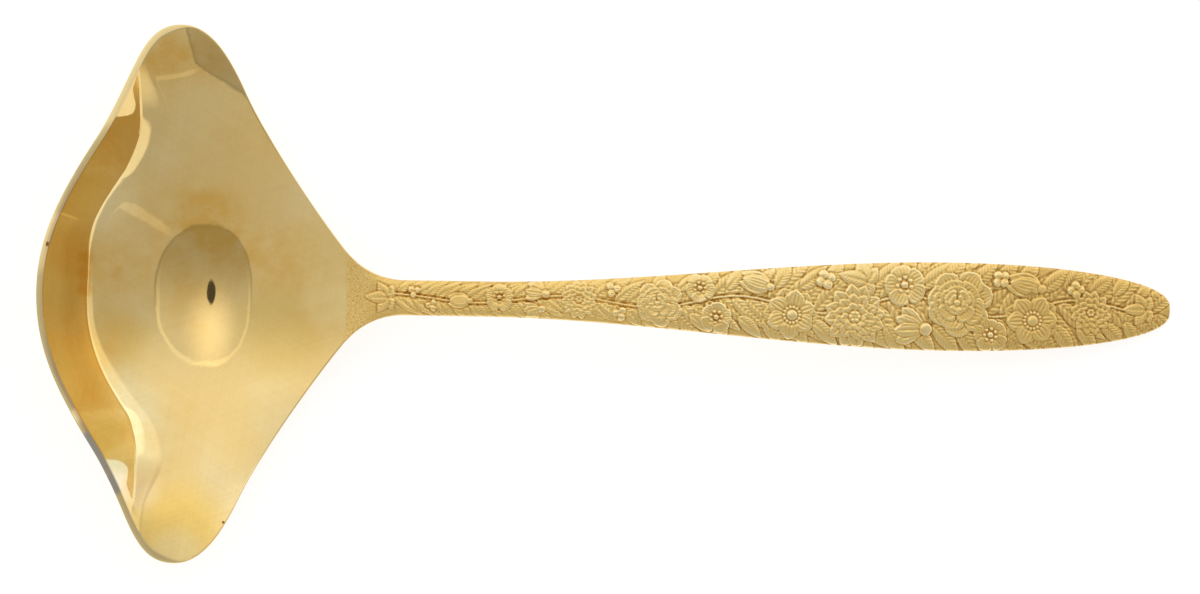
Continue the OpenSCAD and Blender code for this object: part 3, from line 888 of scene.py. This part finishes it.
polish = {
    "gold": (0.88, 0.65, 0.27), "pale": (0.88, 0.69, 0.34), "stained": (0.80, 0.49, 0.12),
    # the tan colour is painted shade along the inner edge of the rim land
    "dull": (0.55, 0.38, 0.14), "landColour": (0.80, 0.63, 0.29), "paintedLandShade": (0.50, 0.36, 0.22),
    "wornColour": (0.44, 0.40, 0.33), "nickColour": (0.32, 0.15, 0.05),
    "rough": 0.02, "stainRough": 0.02, "landRough": 0.16, "nickRough": 0.4,
    # noise: scale, detail and roughness
    "mottle": (150.0, 5.0, 0.65), "cloud": (55.0, 3.0), "blotch": (420.0, 4.0, 0.6), "wipe": (1.0, 3.0, 0.6),
    # shares and the spans in which they grow, for a mix after its least value
    "clouded": (0.3, 0.45, 0.7), "mottled": (0.3, 0.6, 0.25, 0.75), "blotched": (0.8, 0.25, 0.75),
    "dulled": (0.12, 0.4, 0.62), "wiped": (0.03, 0.45, 0.7), "paleSpan": (0.3, 0.5),
    # spans for the painted shade along the rim land's inner edge
    "landShadeLess": (0.65, 12.0, 22.0), "landShadeLow": (0.6, 29.0, 32.0), "landShadeMix": (0.35, 0.65, 0.38, 0.55),
    "wornMix": (0.6, 0.4, 0.3, 0.6), "wornEdge": (4.896, 5.848),
    # wiping marks and bumps, with lengths and heights in metres
    "wipeTurns": (0.35, -0.6, 1.4), "wipeSize": (0.012, 0.0004, 0.012),
    "waves": (260.0, 0.000009), "scores": (0.25, 0.000004),
    # spots in millimetres: x, y, then radius and strength where they have them, and the colour of a painted
    # reflection
    "stains": ((-65.0, 8.0, 17.0, 0.45), (-62.0, 12.0, 7.0, 0.5), (-61.0, 8.0, 5.0, 0.5),
               (-52.0, 7.0, 9.0, 0.5), (-78.4, 4.0, 8.0, 0.5), (-77.0, -7.0, 7.0, 0.45),
               (-69.5, 37.0, 6.0, 0.6), (-62.6, 37.2, 6.0, 0.6)),
    # painted reflections: lighter and darker patches on the bowl
    "paintedReflections": ((-66.2, -36.8, 10.0, 1.0, (0.99, 0.69, 0.20)), (-50.7, -5.4, 10.0, 0.8, (0.82, 0.58, 0.185)),
              (-54.6, 18.1, 10.0, 0.7, (0.84, 0.585, 0.22)), (-76.7, -7.4, 7.0, 0.8, (0.80, 0.58, 0.19)),
              (-43.0, -0.6, 6.5, 0.9, (0.95, 0.72, 0.31)), (-79.0, -22.3, 14.0, 1.0, (0.82, 0.77, 0.475)),
              (-81.5, 16.8, 10.0, 1.0, (1.0, 0.81, 0.42)), (-83.0, -14.0, 8.0, 0.8, (0.75, 0.62, 0.29)),
              (-75.6, -30.3, 3.4, 0.9, (1.0, 0.90, 0.70)), (-72.3, -30.6, 4.5, 0.8, (1.0, 0.76, 0.38)),
              (-66.5, -41.0, 6.0, 0.8, (1.0, 0.78, 0.36)), (-81.2, 5.4, 1.7, 0.9, (0.78, 0.46, 0.13)),
              (-81.35, 3.0, 1.7, 0.9, (0.78, 0.46, 0.13)), (-81.4, 0.6, 1.7, 0.9, (0.78, 0.46, 0.13))),
    "hazed": (-61.5, -37.0, 12.0, 0.18), "stainCore": 0.15, "reflectionCore": 0.3, "hazeCore": 0.4,
    "nicks": ((-86.92, 7.58), (-86.98, 7.3), (-59.2, -35.6)), "nickSize": 0.37, "nickEdge": 1.6,
    "nickRagged": 0.5, "worn": (-78.0, -26.5),
}


def noise(net, place, scale, detail=2.0, rough=0.5):
    return net.add("TexNoise", None,
                   {"Vector": place, "Scale": scale, "Detail": detail, "Roughness": rough})


def stretched(net, place, turn, size):  # drawn out one way, for marks in that direction
    return net.add("Mapping", {"vector_type": "TEXTURE"},
                   {0: place, "Rotation": (0, 0, turn), "Scale": size})


def painted(net, name):
    return net.add("Attribute", {"attribute_name": name}).out("Fac")


def solid(colour):
    return (*colour, 1.0)


def polishedGold():
    material, net, shader = newMaterial("polished_gold")
    place = net.add("TexCoord").out("Object")
    parts = net.add("SeparateXYZ", None, {0: place})
    x, y = parts.out("X") / mm, parts.out("Y") / mm
    land = painted(net, "land")
    landInner = painted(net, "landInner")

    def awayFrom(spot):
        return ((x - spot[0]) * (x - spot[0]) + (y - spot[1]) * (y - spot[1])) ** 0.5

    def within(spot, core):  # the spot's strength, full in its core and fading to its radius
        return spot[3] * (1 - awayFrom(spot).ramp(core * spot[2], spot[2]))

    mottle = noise(net, place, *polish["mottle"])
    cloud = noise(net, place, *polish["cloud"])
    blotch = noise(net, place, *polish["blotch"])
    stain = cloud.upTo(*polish["clouded"])
    for spot in polish["stains"]:
        stain = stain + within(spot, polish["stainCore"])
    stain = (stain * (mottle.mixed(*polish["mottled"]) + blotch.upTo(*polish["blotched"]))).atMost(1.0)
    wipes = 0.0
    for turn in polish["wipeTurns"]:
        along = stretched(net, place, turn, polish["wipeSize"])
        wipes = wipes + noise(net, along, *polish["wipe"]) / len(polish["wipeTurns"])
    nick = 0.0
    nickEdge = polish["nickEdge"] * polish["nickSize"]
    for spot in polish["nicks"]:
        ragged = awayFrom(spot) + polish["nickRagged"] * mottle
        nick = nick + (1 - ragged.ramp(polish["nickSize"], nickEdge))
    worn = land * mottle.mixed(*polish["wornMix"])
    worn = worn * (1 - awayFrom(polish["worn"]).ramp(*polish["wornEdge"]))
    # painted shade along the inner edge of the rim land, less towards either spout
    tan = landInner * (1 - y.upTo(*polish["landShadeLess"])) * (1 - (-y).upTo(*polish["landShadeLow"]))
    tan = tan * cloud.mixed(*polish["landShadeMix"])
    colour = cloud.ramp(*polish["paleSpan"]).blend(solid(polish["pale"]), solid(polish["gold"]))
    # painted reflections: lighter and darker patches where the bowl mirrors brighter or darker parts of the
    # tent, a highlight at the lower end of the wall, and darker spots along the fold
    for spot in polish["paintedReflections"]:
        colour = within(spot, polish["reflectionCore"]).blend(colour, solid(spot[4]))
    layers = ((stain, "stained"), (wipes.upTo(*polish["dulled"]), "dull"), (land, "landColour"),
              (tan, "paintedLandShade"), (worn, "wornColour"), (nick, "nickColour"))
    for share, name in layers:
        colour = share.blend(colour, solid(polish[name]))
    rough = polish["rough"] + wipes.upTo(*polish["wiped"]) + polish["stainRough"] * stain
    rough = rough + polish["landRough"] * land + polish["nickRough"] * nick
    rough = rough + within(polish["hazed"], polish["hazeCore"])
    waveScale, waveHeight = polish["waves"]
    uneven = net.add("Bump", None,
                     {"Distance": waveHeight, "Height": noise(net, place, waveScale)})
    scoreStrength, scoreHeight = polish["scores"]
    scored = net.add("Bump", None,
                     {"Strength": scoreStrength, "Distance": scoreHeight, "Height": wipes, "Normal": uneven})
    setLook(net, shader, {"Base Color": colour, "Metallic": 1.0, "Roughness": rough, "Normal": scored})
    return material


satin = {
    # colours by level: the lowest is painted shade in the hollows, the highest painted highlight on the
    # ridges
    "stops": ((0.1, (0.46, 0.25, 0.06)), (0.47, (0.90, 0.62, 0.20)), (0.8, (1.0, 0.81, 0.42))),
    "roughLow": 0.42, "roughHigh": 0.17, "roughSpan": (0.3, 0.75),
    "cloud": (90.0, 3.0), "cloudShare": 0.12,
    "grain": (4200.0, 2.0, 0.6), "grainShare": 0.22, "grainAtRoot": 0.7, "root": (2.5, 6.0),
    "hatchTurn": 0.35, "hatchSize": (0.0013, 0.00021, 0.0013), "hatch": (1.0, 2.0, 0.6), "hatchShare": 0.35,
    # painted shade near the neck and towards the end: share, and the span in millimetres past the seam
    "neckShade": (0.07, 15.0, 40.0), "endShade": (0.14, 85.0, 112.0),
    "bump": (0.7, 0.00002), "rootBump": 1.5, "hatchBump": 1.2,
}


def satinGold():
    material, net, shader = newMaterial("satin_gold")
    place = net.add("TexCoord").out("Object")
    hollow = painted(net, "hollow")
    cloud = noise(net, place, *satin["cloud"])
    grain = noise(net, place, *satin["grain"])
    hatch = noise(net, stretched(net, place, satin["hatchTurn"], satin["hatchSize"]), *satin["hatch"])
    past = net.add("SeparateXYZ", None, {0: place}).out("X") / mm - xSeam
    atRoot = 1 - past.ramp(*satin["root"])
    # the level mixes the painted shade and highlight of the relief with random tone, grain and hatching
    level = hollow + satin["cloudShare"] * (cloud - 0.5)
    level = level + (satin["grainShare"] + satin["grainAtRoot"] * atRoot) * (grain - 0.5)
    level = level + satin["hatchShare"] * (1 - atRoot) * (hatch - 0.5)
    # painted shade: darker at the neck and towards the end, as the light falls on the handle's slope
    neckShade, neckFrom, neckTo = satin["neckShade"]
    level = level - neckShade * (1 - past.ramp(neckFrom, neckTo)) - past.upTo(*satin["endShade"])
    colour = net.add("ValToRGB", {"stops": satin["stops"]}, {0: level})
    rough = satin["roughLow"] + (satin["roughHigh"] - satin["roughLow"]) * level.ramp(*satin["roughSpan"])
    strength, height = satin["bump"]
    struckOver = grain * (1 + satin["rootBump"] * atRoot) + satin["hatchBump"] * hatch
    stipple = net.add("Bump", None,
                      {"Strength": strength, "Distance": height, "Height": struckOver})
    setLook(net, shader, {"Base Color": colour, "Metallic": 1.0, "Roughness": rough, "Normal": stipple})
    return material


goldPolish = polishedGold()
goldSatin = satinGold()


def dress(piece, material, body, node):
    piece.data.materials.clear()
    piece.data.materials.append(material)
    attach(piece, body)
    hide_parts(node)


dress(pressedBowl, goldPolish, "root", "bowl")
dress(struckHandle, goldSatin, "root", "handle")
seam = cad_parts["braze_seam"]
seam.data.materials.clear()
seam.data.materials.append(goldPolish)
print("finishes set")


# floor: pale, mostly shown by its own light, so that it stays white and keeps a faint shadow
ground = {"side": 3.0, "grey": 0.35, "rough": 0.9, "shine": 0.78}
floorMesh = bpy.data.meshes.new("floor")
half = ground["side"] / 2
corners = [(-half, -half, 0), (half, -half, 0), (half, half, 0), (-half, half, 0)]
floorMesh.from_pydata(corners, [], [(0, 1, 2, 3)])
floor = bpy.data.objects.new("floor", floorMesh)
bpy.context.scene.collection.objects.link(floor)
floorMaterial, net, shader = newMaterial("floor")
setLook(net, shader, {
    "Base Color": solid([ground["grey"]] * 3), "Roughness": ground["rough"], "Specular IOR Level": 0.0,
    "Emission Color": solid((1, 1, 1)), "Emission Strength": ground["shine"]})
floorMesh.materials.append(floorMaterial)

# light: a soft tent, brightest towards +Y, with an opening round the camera
tent = {
    "top": 0.62, "sideways": -0.08, "roof": 0.05,
    "bright": (0.4, 0.03, 0.38), "dim": (0.04, 0.0, 0.6), "front": (-0.2, 0.7, 0.95),
    "shade": (0.35, 0.45, 0.7), "shadeY": (0.2, 0.4),
    # a panel low on the +X side, and a softer patch above it
    "panel": (0.45, 0.35, 0.55), "panelTop": 0.17, "panelEdge": (-0.02, 0.02),
    "above": 0.18, "aboveX": (0.5, 0.75), "aboveY": (-0.15, 0.08), "aboveZ": (0.4, 0.7),
    "aboveFade": (1.7, 0.7), "aboveFadeY": (0.15, 0.4),
    # a slit beside the opening
    "slit": 0.14, "slitFrom": (0.467, -0.305), "slitSlope": -0.35, "slitEdge": (0.01, 0.022),
    "slitStart": (0.36, 0.46), "slitEnd": (0.8, 1.0),
    # the opening, what is seen in it, and its hem
    "opening": (0.426, 0.286), "openingAt": (0.049, 0.0071), "openingEdge": (0.98, 1.02),
    "corner": (0.40, 0.25), "square": 2.7, "inside": (0.425, 0.36, -0.25, 0.25),
    "glow": 0.46, "glowAt": (0.0, 0.175), "glowSize": (0.18, 0.15), "glowFade": (0.0, 1.9),
    "hem": 0.024, "hemFlat": 0.7, "hemLight": (0.12, 0.42), "hemV": (-0.2, 0.0),
    "hemLine": 0.012, "lineDark": 0.26, "lineV": (-0.1, 0.15),
    "lensEdge": (0.05, 0.066), "lensSlim": 1.8, "lensAt": -0.013, "lensLevel": 0.085,
}
world = bpy.data.worlds.new("tent")
bpy.context.scene.world = world
world.use_nodes = True
net = Wire(world.node_tree)
way = net.add("TexCoord").out("Generated")
parts = net.add("SeparateXYZ", None, {0: way})
dx, dy, dz = parts.out("X"), parts.out("Y"), parts.out("Z")
overhead = dz.atLeast(tent["roof"])
u = dx / overhead  # places on a flat roof overhead
v = dy / overhead


def over(wire, span):  # a ramp over one of the tent's spans
    return wire.ramp(*tent[span])


acrossTent = dy.upTo(*tent["bright"]) - (-dy).upTo(*tent["dim"])
shaded = dx.upTo(*tent["shade"]) * (1 - over(dy, "shadeY"))
cloth = tent["top"] + acrossTent * (1 - shaded) + tent["sideways"] * dx
belowPanel = 1 - over(dz - tent["panelTop"], "panelEdge")
cloth = cloth + dx.upTo(*tent["panel"]) * belowPanel + (-dx).upTo(*tent["front"])
aside = over(dx, "aboveX") * over(dy, "aboveY") * (1 - over(dz, "aboveZ"))
fadeFrom, fadeBy = tent["aboveFade"]
cloth = cloth + tent["above"] * aside * (1 - belowPanel) * (fadeFrom - fadeBy * over(dy, "aboveFadeY"))
slitU, slitV = tent["slitFrom"]
slit = 1 - over(abs(v - slitV - tent["slitSlope"] * (u - slitU)), "slitEdge")
cloth = cloth + tent["slit"] * slit * over(u, "slitStart") * (1 - over(u, "slitEnd"))
cornerU, cornerV = tent["corner"]
pastU = (abs(u - tent["openingAt"][0]) - tent["opening"][0] + cornerU).atLeast(0.0)
pastV = (abs(v - tent["openingAt"][1]) - tent["opening"][1] + cornerV).atLeast(0.0)
glowU = (u - tent["glowAt"][0]) / tent["glowSize"][0]
glowV = (v - tent["glowAt"][1]) / tent["glowSize"][1]
glow = 1 - over((glowU * glowU + glowV * glowV) ** 0.5, "glowFade")
inside = v.mixed(*tent["inside"]) + tent["glow"] * glow


def openedBy(grow):  # within the opening, or within the same opening grown by a hem
    shareU = pastU / (cornerU + grow)
    shareV = pastV / (cornerV + tent["hemFlat"] * grow)
    square = tent["square"]
    return 1 - over((shareU ** square + shareV ** square) ** (1 / square), "openingEdge")


opened = openedBy(0.0)
hemmed = openedBy(tent["hem"])
lined = openedBy(tent["hem"] + tent["hemLine"])
lensDistance = (tent["lensSlim"] * u * u + (v - tent["lensAt"]) ** 2.0) ** 0.5
lens = 1 - over(lensDistance, "lensEdge")
hemLight, hemLightV = tent["hemLight"]
light = mixIn(net, cloth, inside, hemmed) + (hemmed - opened) * (hemLight + hemLightV * v) * over(v, "hemV")
light = light - tent["lineDark"] * (lined - hemmed) * (1 - over(v, "lineV"))
light = mixIn(net, light, tent["lensLevel"], lens)
background = next(n for n in world.node_tree.nodes if n.type == "BACKGROUND")
net.plug(background.inputs["Color"], net.add("CombineColor", None, {0: light, 1: light, 2: light}))
background.inputs["Strength"].default_value = 1.0
bpy.context.scene.view_settings.view_transform = "Standard"
print("light set")
